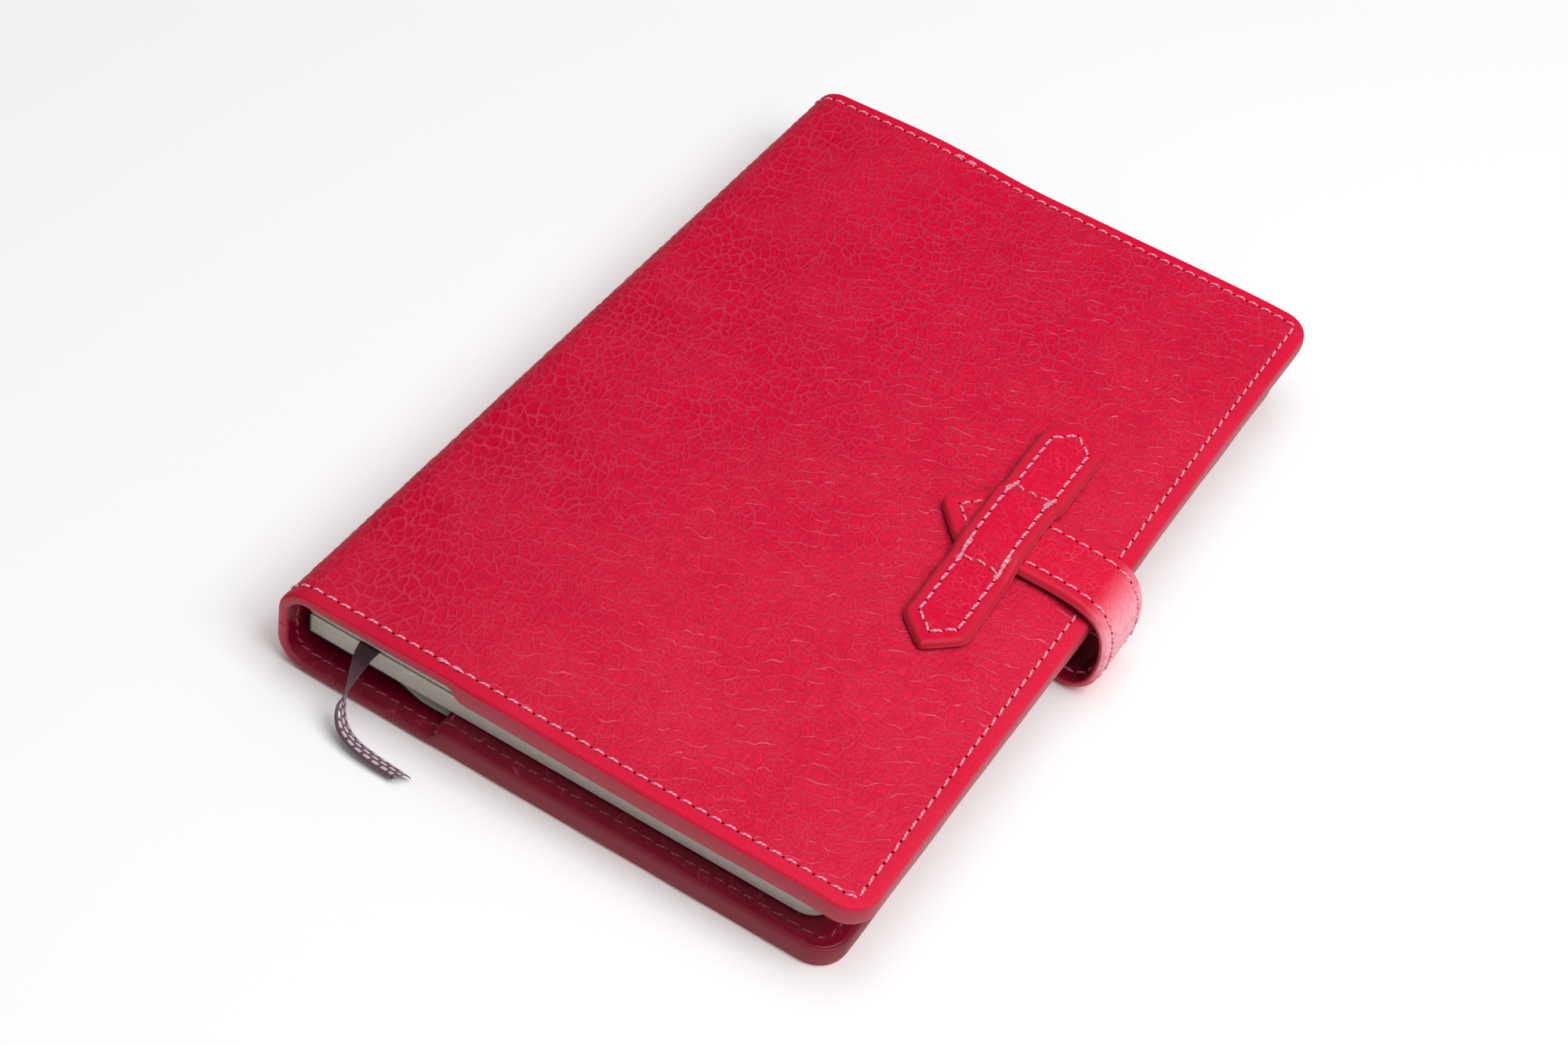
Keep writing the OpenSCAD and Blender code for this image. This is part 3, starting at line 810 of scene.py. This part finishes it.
class Seam:
    """Stitches gathered into one mesh. place(a, b, height) puts a point of the unrolled surface
    at a height above it into the row frame."""

    def __init__(self):
        self.points, self.faces, self.flat, self.kinds = [], [], [], []
        self.count = 0

    def tube(self, rings, flat, kind):
        """A closed tube through rings of points."""
        rings = np.asarray(rings)
        made = tube_faces(*rings.shape[:2], len(self.points))
        self.points.extend(rings.reshape(-1, 3))
        self.flat.extend(np.asarray(flat).reshape(-1, 3))
        self.faces.extend(made)
        self.kinds.extend([kind] * len(made))

    def stitch(self, place, a, b, slant, wide=THREAD_R, high=0.30 * MM):
        """One stitch from a to b, which dives into the leather at both ends."""
        way = b - a
        length = np.linalg.norm(way)
        across = np.array([-way[1], way[0]]) / length
        turns = np.arange(8) * math.pi / 4
        rings, flat = [], []
        for share in (0, 0.06, 0.16, 0.32, 0.5, 0.68, 0.84, 0.94, 1.0):
            rise = max(math.sin(math.pi * share), 0.0) ** 0.45
            size = 0.55 + 0.45 * rise
            middle = a + way * share + across * (slant * (share - 0.5) * 2)
            lift = high * rise - 0.16 * MM + wide * 0.75 * size * np.sin(turns)
            spots = middle + np.outer(wide * size * np.cos(turns), across)
            rings.append(place(spots[:, 0], spots[:, 1], lift))
            flat.append([(share * length, turn * MM, self.count * 0.37 * MM) for turn in turns])
        self.tube(rings, flat, 0)
        self.count += 1

    def hole(self, place, at):
        """A low dark lens where the needle went in."""
        turns = np.arange(8) * math.pi / 4
        rings = []
        for share, height in ((0.15, -0.05), (1.0, 0.0), (0.6, 0.035), (0.12, 0.04)):
            a = at[0] + HOLE_R * share * np.cos(turns)
            b = at[1] + HOLE_R * share * np.sin(turns)
            rings.append(place(a, b, np.full(8, height * MM)))
        self.tube(rings, np.zeros((4, 8, 3)), 1)

    def run(self, place, path, pitch=STITCH_PITCH, share=0.76, holes=True, seed=0,
            slant=0.10 * MM, **look):
        """Stitches of even pitch along a path of the unrolled surface."""
        curve = Curve(path)
        count = max(1, int(round(curve.length / pitch)))
        pitch = curve.length / count
        chance = np.random.default_rng(seed)
        for k in range(count):
            middle = (k + 0.5) * pitch
            reach = pitch * share / 2 * chance.uniform(0.92, 1.06)
            ends = curve.place(np.array([middle - reach, middle + reach]))
            self.stitch(place, *ends, slant * chance.uniform(0.5, 1.4), **look)
            if holes:
                self.hole(place, curve.place(np.array(k * pitch)))

    def piece(self, name, thread_look=thread):
        return new_mesh(name, self.points, self.faces, [thread_look, hole], self.kinds,
                        flat=self.flat)


def cover_seam(name, side, face, thread_look):
    """The seam round a cover half, on its outer or its inner face."""
    seam = Seam()
    mouth = MOUTH_S[side]
    path = outline(side, STITCH_INSET, 0.25 * MM, 0.5 * MM, corner_steps=3)[:, :2]

    def on_leather(s, y, height):
        edge = outline_distance(side, s, y)
        return cover_place(side, s, y, leather_face(side, s, y, edge) - height)

    def on_sleeve(s, y, height):
        return cover_place(side, s, y, np.where(s > mouth, COVER_T - 0.12 * MM, SHELL_T) + height)

    if face == OUTER:
        seam.run(on_leather, path, seed=3, high=STITCH_H[side])
        for start, end in ((mouth - 4 * MM, -1), (mouth - 2 * MM, 1)):
            y = end * (HALF_L - STITCH_INSET + 0.25 * MM)
            seam.run(on_leather, [(start, y), (start + 2 * STITCH_PITCH, y)], holes=False, seed=5,
                     high=BACKTACK_H[side], slant=0.2 * MM)
    else:
        seam.run(on_sleeve, path, share=0.94, holes=False, seed=7, wide=0.15 * MM,
                 high=0.18 * MM, slant=0.16 * MM)
        s = mouth + 0.9 * MM
        for end in (-1, 1):
            y = end * (HALF_L - STITCH_INSET)
            seam.run(on_sleeve, [(s, y), (s, y - end * 3 * MM)], holes=False, seed=9,
                     wide=0.2 * MM, high=0.25 * MM)
    return seam.piece(name, thread_look)


def half_cover(side, body):
    """One half of the cover with the half of the spine next to it."""
    leather = cover_shell(
        f"{body}_cover_leather", side, cover_leather, 0.0, LEATHER_STEP[side], leather_face,
        even_depth(LEATHER_T), 5)
    press_grain(leather)
    lined = cover_shell(
        f"{body}_cover_lining", side, lining, 0.0, LINING_STEP, lining_face,
        even_depth(LEATHER_T + 0.02 * MM), 3, inset=0.3 * MM)
    # The back's edge paint carries painted shade
    paint = edge_paint if side == UPPER else back_edge_paint
    painted = edge_band(f"{body}_edge_paint", side, paint)
    outer = cover_seam(f"{body}_outer_thread", side, OUTER, thread)
    inner = cover_seam(f"{body}_inner_thread", side, INNER, inner_thread)
    sleeve = cover_shell(
        f"{body}_sleeve_skin", side, lining, MOUTH_S[side], LINING_STEP, sleeve_face, sleeve_back,
        1, inset=0.25 * MM)
    declare(sleeve, "lining", f"{body}_sleeve", body=body)
    declare(leather, "leather", f"{body}_leather", "spine_leather")
    declare(lined, "lining", f"{body}_lining", "spine_lining")
    declare(painted, "edge_paint")
    declare(outer, "thread")
    declare(inner, "thread")
    near_panel = (FLAT_X + 0.5 * MM, 0, 1.0 * MM)
    at_spine = (FLAT_X - 2.5 * MM, 0, 5.0 * MM)
    if side == UPPER:
        near_panel, at_spine = ((x, y, TOP_Z - z) for x, y, z in (near_panel, at_spine))
    for piece in (leather, lined, painted, outer, inner):
        if side == UPPER:
            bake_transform(piece)
            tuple(at_spine)
            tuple(near_panel)
        else:
            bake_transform(piece)
            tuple(near_panel)
            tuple(at_spine)


# ---------------- strap and keeper

def tab_half_width(t, full, slope, nose_r):
    """Half width of a tab at distance t from its pointed tip."""
    t = np.maximum(t, 0)
    point = np.sqrt((slope * t) ** 2 + 2 * nose_r * t)
    blend = 1.0 * MM
    gap = np.clip((full - point) / blend, -1, 1)
    shoulder = np.where(point > full + blend, full, full - blend * (gap + 1) ** 2 / 4)
    return np.where(point < full - blend, point, shoulder)


def tab_shell(name, place, t_steps, width, thick, leather, top_r, crown, ribs=None):
    """A closed tab of leather: top face, painted edge and lined underside. place(t, w, depth)
    puts a point in the row frame, and width(t) is the half width."""
    half = width(t_steps)
    nudge = 0.05 * MM
    slope = (width(t_steps + nudge) - width(t_steps - nudge)) / (2 * nudge)
    lean = 1 / np.sqrt(1 + slope ** 2)
    # Lines along the tab, as shares of its half width: closer at its edges and seams
    shares = np.array([0, 0.02, 0.05, 0.09, 0.15, 0.22, 0.30, 0.37, 0.43, 0.5, 0.6, 0.72, 0.86])
    q_top = np.concatenate([shares - 1, [0], (1 - shares)[::-1]])
    shares = np.array([1, 0.96, 0.88, 0.7, 0.45, 0.2])
    q_low = np.concatenate([shares, [0], -shares[::-1]])
    side_steps = np.linspace(0, 1, 6)[1:-1]
    side_depth = top_r + (thick - 0.3 * MM - top_r) * side_steps
    rows = []
    for t, w, tilt in zip(t_steps, half, lean):
        edge = w * (1 - np.abs(q_top)) * tilt
        seam = 0.10 * MM * bell(edge, 1.9 * MM, 0.4 * MM)
        top_depth = roll_over(edge, top_r) + seam - crown * (1 - q_top ** 2)
        side_w = w + 0.16 * MM * np.sin(math.pi * side_steps) * min(1, w / MM)
        edge = w * (1 - np.abs(q_low)) * tilt
        low_depth = thick - roll_over(edge, 0.3 * MM)
        if ribs is not None:
            low_depth = low_depth - ribs(t, q_low * w) * smooth(edge, 0.2 * MM, 1.2 * MM)
        across = np.concatenate([w * q_top, side_w, w * q_low, -side_w[::-1]])
        depth = np.concatenate([top_depth, side_depth, low_depth, side_depth[::-1]])
        rows.append(np.stack([np.full_like(depth, t), across, depth], -1))
    rows = np.array(rows)
    count = rows.shape[1]
    top, sides, under = len(q_top) - 1, len(side_steps) + 1, len(q_low) - 1
    kinds = [0] * top + [1] * sides + [2] * under + [1] * sides
    kinds = kinds * (len(rows) - 1) + [1, 1]
    edge = np.clip(half[:, None] - np.abs(rows[..., 1]), 0, None)
    margin = np.where(np.arange(count) < len(q_top), edge, 0.0)
    return new_mesh(
        name, place(*np.moveaxis(rows, -1, 0)).reshape(-1, 3), tube_faces(len(rows), count),
        [leather, edge_paint, lining], kinds, flat=(rows * (1, 1, 0)).reshape(-1, 3),
        margin=margin.ravel())


def strap_route():
    """The strap's inner face, from its tip over the cover, round the fore edge to its root."""
    tongue_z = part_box("strap_tongue_lining")[0].z / MM
    root_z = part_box("strap_root")[1].z / MM
    tip_x = STRAP_LOW.x / MM
    points = [
        (tip_x, tongue_z - 0.15), (23, tongue_z + 0.10), (29, tongue_z + 0.2), (35, tongue_z + 0.15),
        (40.5, tongue_z + 0.05), (44, 14.9), (46.7, 13.9), (48.3, 12.0), (49.0, 9.6), (49.1, 7.2),
        (48.7, 4.8), (47.8, 3.1), (46.3, root_z + 0.25), (44.4, root_z), (41, root_z),
        (37.5, root_z), (34, root_z),
    ]
    return Curve(rounded(np.array(points) * MM, 12))


def make_strap():
    """The strap in two lengths that meet half-way round the bend, and their seams."""
    curve = strap_route()
    dense = np.linspace(0, curve.length, 2000)
    spots = curve.place(dense)
    cut = dense[(spots[:, 0] > FORE_X[UPPER]) & (spots[:, 1] < MID_Z)][0]

    def place(t, w, depth):
        spot, way = curve.place(t), curve.heading(t, 0.5 * MM)
        out = STRAP_T - depth
        drift = 0.8 * MM * bell(t, cut + 3 * MM, 9 * MM)
        x = spot[..., 0] - way[..., 1] * out
        z = spot[..., 1] + way[..., 0] * out
        return np.stack([x, CLOSURE_Y - drift + w, z], -1)

    def width(t):
        return tab_half_width(t, STRAP_HALF_W, STRAP_POINT, 0.5 * MM)

    def ribs(t, w):
        tight = smooth(t, cut - 9 * MM, cut - 3 * MM) * (1 - smooth(t, cut + 9 * MM, cut + 13 * MM))
        return 0.14 * MM * tight * (0.5 + 0.5 * np.sin(t / (0.21 * MM) + np.sin(w / (1.6 * MM))))

    tip = np.array([0, 0.02, 0.08, 0.2, 0.4, 0.7, 1.0]) * MM
    upper = np.concatenate([tip, np.arange(1.4 * MM, cut - 0.2 * MM, 0.4 * MM), [cut]])
    lower = np.linspace(cut, curve.length, int((curve.length - cut) / (0.4 * MM)))
    tongue, bend = (
        tab_shell(name, place, steps, width, STRAP_T, strap_leather, 0.7 * MM, 0.12 * MM, ribs)
        for name, steps in (("strap_tongue_skin", upper), ("strap_bend_skin", lower)))
    declare(tongue, "leather", "strap_tongue_leather", "strap_tongue_lining", "strap_bend_upper")
    declare(bend, "leather", "strap_bend_lower", "strap_root")

    def on_top(t, w, height):
        return place(t, w, 0.06 * MM - height - 0.12 * MM * (1 - (w / STRAP_HALF_W) ** 2))

    def under(t, w, height):
        return place(t, w, STRAP_T + height)

    inset, pitch = 2.0 * MM, 2.2 * MM
    line_w = STRAP_HALF_W - inset
    point_t = inset * 1.35
    shoulder_t = point_t + line_w / STRAP_POINT
    low_look = {"pitch": pitch, "holes": False, "wide": 0.2 * MM, "high": 0.22 * MM}
    seams = {}
    for key, first, last in (("tongue", shoulder_t, cut), ("bend", cut, curve.length - 6 * MM)):
        seam = Seam()
        for side in (-1, 1):
            path = [(t, side * line_w) for t in [*np.arange(first, last, 0.5 * MM), last]]
            seam.run(on_top, path, pitch, seed=11 + side)
            seam.run(under, path, seed=13 + side, **low_look)
            if key == "tongue":
                path = [(point_t, 0), (shoulder_t, side * line_w)]
                seam.run(on_top, path, pitch, seed=17 + side)
                seam.run(under, path, seed=19 + side, **low_look)
        seams[key] = seam.piece(f"strap_{key}_thread")
        declare(seams[key], "thread")
    mid_x = curve.place(np.array(cut))[0]
    for piece in (tongue, seams["tongue"]):
        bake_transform(piece)
    for piece in (bend, seams["bend"]):
        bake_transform(piece)


def make_keeper():
    """The keeper: a pointed tab sewn down at both ends, with a raised tunnel for the strap."""
    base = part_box("front_leather")[1].z
    rise = KEEPER_HIGH.z - KEEPER_T - base
    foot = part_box("strap_tongue_leather")[1].y - CLOSURE_Y
    v = np.linspace(-KEEPER_L / 2, KEEPER_L / 2, 400)
    z = base + 0.05 * MM + rise * (1 - smooth(np.abs(v), foot - 1.6 * MM, foot + 3.4 * MM))
    curve = Curve(np.stack([v, z + 0.25 * MM * bell(np.abs(v), foot + 7 * MM, 3 * MM)], -1))
    far = curve.length
    cos, sin = math.cos(KEEPER_LEAN), math.sin(KEEPER_LEAN)

    def place(t, w, depth):
        spot, way = curve.place(t), curve.heading(t, 0.5 * MM)
        out = KEEPER_T - depth
        along = spot[..., 0] - way[..., 1] * out
        x = KEEPER_X + cos * w - sin * along
        y = CLOSURE_Y + sin * w + cos * along
        lift = front_lift(x + FLAT_S - FLAT_X, y)
        return np.stack([x, y, spot[..., 1] + way[..., 0] * out + lift], -1)

    def width(t):
        near = np.minimum(t, far - t)
        waist = 0.25 * MM * bell(t, far / 2, 7 * MM) * smooth(near, 4 * MM, 9 * MM)
        return tab_half_width(near, KEEPER_HALF_W, KEEPER_POINT, 0.35 * MM) - waist

    def on_top(t, w, height):
        return place(t, w, 0.05 * MM - height - 0.1 * MM * (1 - (w / KEEPER_HALF_W) ** 2))

    tip = np.array([0, 0.02, 0.08, 0.2, 0.4, 0.7, 1.0, 1.4]) * MM
    steps = np.concatenate([tip, np.linspace(1.8 * MM, far - 1.8 * MM, 110), far - tip[::-1]])
    skin = tab_shell("keeper_skin", lambda t, w, depth: place(t, -w, depth), steps, width,
                     KEEPER_T, keeper_leather, 0.8 * MM, 0.1 * MM)
    declare(skin, "leather", "keeper", body="front")

    seam = Seam()
    inset = 1.9 * MM
    line_w = KEEPER_HALF_W - inset
    point = inset * 1.4
    shoulder = point + line_w / KEEPER_POINT
    corners = [(point, 0), (shoulder, line_w), (far - shoulder, line_w), (far - point, 0),
               (far - shoulder, -line_w), (shoulder, -line_w)]
    for k, corner in enumerate(corners):
        seam.run(on_top, [corner, corners[(k + 1) % 6]], pitch=2.25 * MM, share=0.86,
                 seed=41 + k, wide=0.23 * MM)
    to_cross_seam, bow = 8.9 * MM, 0.7 * MM
    for end in (-1, 1):
        middle = far / 2 + end * to_cross_seam
        bowed = [(middle - end * bow * math.cos(math.pi * w / (2 * line_w)), w)
                 for w in np.linspace(-line_w, line_w, 13)]
        seam.run(on_top, bowed, pitch=1.9 * MM, seed=29 + end, wide=0.26 * MM, high=0.36 * MM,
                 slant=0.22 * MM)
        for side in (-1, 1):
            for layer in range(3):
                shift = (layer - 1) * 0.28 * MM
                doubled = [(middle - end * 3.2 * MM, side * line_w + shift),
                           (middle + end * 1.4 * MM, side * line_w - shift)]
                seam.run(on_top, doubled, pitch=2.3 * MM, share=0.98, seed=31 + layer + 3 * side,
                         holes=False, wide=0.2 * MM, high=0.42 * MM, slant=0.15 * MM)
    declare(seam.piece("keeper_thread"), "thread", body="front")


# ---------------- the refill

def leaf_outline(x0, x1, half, steps=7):
    """A leaf with two round corners at its fore edge."""
    corner_x, corner_y = x1 - PAGE_CORNER_R, half - PAGE_CORNER_R
    points = [(x0, -half)]
    for end, first in ((-1, -math.pi / 2), (1, 0)):
        points += [(corner_x + PAGE_CORNER_R * math.cos(a),
                    end * corner_y + PAGE_CORNER_R * math.sin(a))
                   for a in np.linspace(first, first + math.pi / 2, steps)]
    return points + [(x0, half)]


def plates(name, layers, material):
    """Thin plates stacked in one mesh. Each layer is an outline and its two heights."""
    points, faces = [], []
    for shape, low, high in layers:
        start, count = len(points), len(shape)
        points += [(x, y, low) for x, y in shape] + [(x, y, high) for x, y in shape]
        faces += [tuple(range(start + count - 1, start - 1, -1)),
                  tuple(range(start + count, start + 2 * count))]
        faces += grid_quads(2, count, start, closed=True)
    return new_mesh(name, points, faces, [material], smooth_shaded=False)


def make_pages():
    """Each folded section as a stack of leaves, with page edges that are a touch uneven."""
    chance = np.random.default_rng(41)
    for index in range(1, 9):
        node = f"signature_{index}"
        low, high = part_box(node)
        pitch = (high.z - low.z) / LEAVES
        layers = []
        for k in range(LEAVES):
            trim = chance.uniform(0.0, 0.05, 2) * MM
            shape = leaf_outline(low.x + 0.05 * MM, high.x - trim[0], high.y - trim[1])
            z = low.z + k * pitch
            layers.append((shape, z + 0.06 * pitch, z + 0.94 * pitch))
        piece = plates(f"{node}_leaves", layers, paper)
        declare(piece, "paper", node, body="refill" if index <= 4 else "front_pages")


def card_skin(side, word, body):
    """Half of the refill's card cover: navy outside, cream inside, dipping into its sleeve."""
    node = f"refill_{word}_cover"
    low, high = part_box(node)
    far_z = low.z if side == LOWER else high.z
    corner_x, corner_y = high.x - PAGE_CORNER_R, high.y - PAGE_CORNER_R
    dip_to = MOUTH_X[side] - DIP_MARGIN
    turns = np.linspace(0.15, 1, 8) * math.pi / 2
    x_steps = np.concatenate([np.linspace(low.x, dip_to, 40),
                              np.linspace(MOUTH_X[side], corner_x, 14),
                              high.x - PAGE_CORNER_R * (1 - np.sin(turns))])
    past = np.maximum(x_steps - corner_x, 0)
    half = corner_y + np.sqrt(np.maximum(PAGE_CORNER_R ** 2 - past ** 2, 0))
    dip = smooth(x_steps, low.x + DIP_RUN, dip_to)
    base = CARD_Z[side] + (far_z - CARD_Z[side]) * dip
    q = np.linspace(-1, 1, 21)
    rows = np.array([[(x, w * k, z) for k in q] + [(x, w * k, z - side * CARD_T) for k in q[::-1]]
                     for x, w, z in zip(x_steps, half, base)])
    kinds = [0] * len(q) + [1] * (len(q) - 1) + [0]
    piece = new_mesh(
        f"{word}_card_skin", rows.reshape(-1, 3),
        tube_faces(len(rows), 2 * len(q), flip=side == LOWER), [card, paper],
        kinds * (len(rows) - 1) + [0, 0], smooth_shaded=False)
    declare(piece, "card", node, body=body)


def make_ribbon():
    """The ribbon's free end, swept along its route: a plain face above, which the twist turns
    under, and the face with the woven ribs."""
    line = Curve(rounded(np.array(RIBBON_ROUTE) * MM, 8))
    t = np.linspace(0, line.length, 260)
    spots, ways = line.place(t), line.heading(t, 0.4 * MM)
    knots = Curve(np.array(RIBBON_ROUTE) * MM).at
    index = np.interp(t, knots * line.length / knots[-1], np.arange(len(knots)))
    share = np.clip((index - TURN_FROM) / (TURN_TO - TURN_FROM), 0, 1)
    angle = share * math.pi / 2
    wanted = np.stack([np.cos(angle), -np.sin(angle), EDGE_LIFT * share], -1)
    across = wanted - (wanted * ways).sum(-1, keepdims=True) * ways
    across /= np.linalg.norm(across, axis=-1, keepdims=True)
    up = -np.cross(across, ways)
    columns, ribs = 41, 4
    q = np.linspace(-1, 1, columns)
    band = np.clip((1 - np.abs(q)) / 0.14, 0, 1)
    phase = (q / 0.86 + 1) / 2 * ribs
    rib = np.abs(np.sin(math.pi * phase)) * band
    slant = 0.30 * phase + 0.41 * np.floor(phase)
    thin = RIBBON_T / 2 * (0.35 + 0.65 * band)
    width = q * RIBBON_W / 2
    pinch = 1 - 0.52 * smooth(index, 1.5, 7.5) - 0.12 * bell(index, 7.0, 1.5)
    curl = 0.8 * MM * smooth(index, 7, 11)
    cut = smooth(t, line.length - 2.2 * MM, line.length)
    rings, flats = [], []
    for k in range(len(t)):
        dash = 0.5 + 0.5 * np.sin(2 * math.pi * (t[k] / (1.5 * MM) + slant))
        plain = 0.5 + 0.5 * np.sin(2 * math.pi * t[k] / (0.5 * MM) + math.pi * np.floor(6 * phase))
        middle = spots[k] + np.outer(width * pinch[k], across[k])
        middle = middle - np.outer(cut[k] * 0.9 * MM * q, ways[k])
        middle = middle - np.outer(curl[k] * (1 - q * q), up[k])
        top = middle + np.outer(thin + 0.02 * MM * plain, up[k])
        low = middle - np.outer(thin + 0.07 * MM * rib * (0.3 + 0.7 * dash), up[k])
        rings.append(np.vstack([top, low[::-1]]))
        shown = 0.15 + 0.85 * smooth(rib, 0.45, 0.95) * smooth(dash, 0.08, 0.45)
        face, back = (np.stack([np.full(columns, t[k]), width, look * MM], -1)
                      for look in (0.10 * plain, shown))
        flats.append(np.vstack([face, back[::-1]]))
    piece = new_mesh("ribbon_end", np.vstack(rings), tube_faces(len(t), 2 * columns), [satin],
                     flat=np.vstack(flats))
    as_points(line.points)
    declare(piece, "satin", "ribbon", body="refill")


# ---------------- the room

def make_floor():
    """A wide pale floor."""
    reach, count = 4.0, 24
    steps = np.linspace(-reach, reach, count)
    points = [(x, y, -0.05 * MM) for y in steps for x in steps]
    n = Surface("floor_paper", Specular_IOR_Level=0.0)
    cloud = n.noise(n.add("ShaderNodeTexCoord", {}, "Object"), 3.0, 3.0)
    colour = n.blend(cloud, (0.91, 0.91, 0.912), (0.92, 0.92, 0.922))
    material = n.finished(colour, n.step(cloud, 0.0, 1.0, 0.85, 0.95))
    new_mesh("floor", points, grid_quads(count, count), [material])


def area_light(name, place, size, power):
    """A square light that faces the object."""
    data = bpy.data.lights.new(name, "AREA")
    data.shape = "RECTANGLE"
    data.size = data.size_y = size
    data.energy = power
    lamp = bpy.data.objects.new(name, data)
    turn = (-Vector(place)).to_track_quat("-Z", "Y").to_matrix().to_4x4()
    lamp.matrix_world = Matrix.Translation(place) @ turn
    bpy.context.scene.collection.objects.link(lamp)


def make_light():
    """Soft studio light: a wide box overhead, a box on the right and a weak, even fill."""
    scene = bpy.context.scene
    scene.world = bpy.data.worlds.new("studio")
    scene.world.use_nodes = True
    sky = scene.world.node_tree.nodes["Background"].inputs
    sky["Color"].default_value = (1, 1, 1, 1)
    sky["Strength"].default_value = 0.32
    area_light("key", (0.43, -0.10, 0.64), 0.5, 3.9)
    area_light("overhead", (0.04, 0.14, 1.4), 1.2, 7.8)
    scene.view_settings.view_transform = "Standard"
    scene.view_settings.look = "None"


# ---------------- assembly

make_ribbon()
half_cover(UPPER, "front")
half_cover(LOWER, "back")
make_keeper()
make_strap()
make_pages()
card_skin(LOWER, "back", "refill")
card_skin(UPPER, "front", "front_pages")

for node, material in {
        "refill_spine_lower": card, "refill_spine_upper": card,
        "spine_cloth_lower": cloth, "spine_cloth_upper": cloth,
        "back_endpaper": paper, "front_endpaper": paper, "ribbon_tucked": satin}.items():
    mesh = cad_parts[node].data
    mesh.materials.clear()
    mesh.materials.append(material)

make_floor()
make_light()
